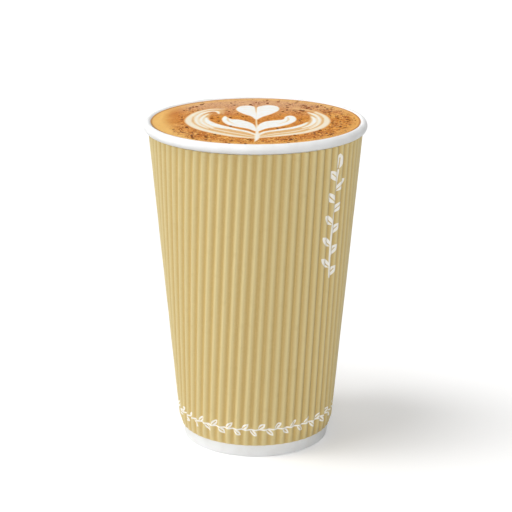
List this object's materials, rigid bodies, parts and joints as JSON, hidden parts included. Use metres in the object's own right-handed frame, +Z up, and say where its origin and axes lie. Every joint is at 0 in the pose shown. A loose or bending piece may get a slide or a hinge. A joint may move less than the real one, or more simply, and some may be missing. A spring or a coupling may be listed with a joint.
{
  "type": "paper coffee cup",
  "caption": "Tall round paper cup with a rolled rim, a recessed floor and a rippled kraft wrap, brimful of coffee with milk foam.",
  "frame": {"origin": "centre of the cup's foot, on the surface that it stands on", "axes": "+Z up the cup's axis; -Y is the front of the cup, +X its right side as seen from the front"},
  "size_m": [0.09, 0.09, 0.1342],
  "materials": {
    "cup_board": "smooth white coated board, satin",
    "wrap_paper": "tan kraft paper pressed into fine upright flutes, satin",
    "coffee": "wet coffee with a fine orange-brown foam and a poured milk figure"
  },
  "bodies": {
    "root": {"cup_wall": "cup_board", "base_disc": "cup_board", "ripple_wrap": "wrap_paper", "coffee": "coffee"}
  },
  "joints": []
}
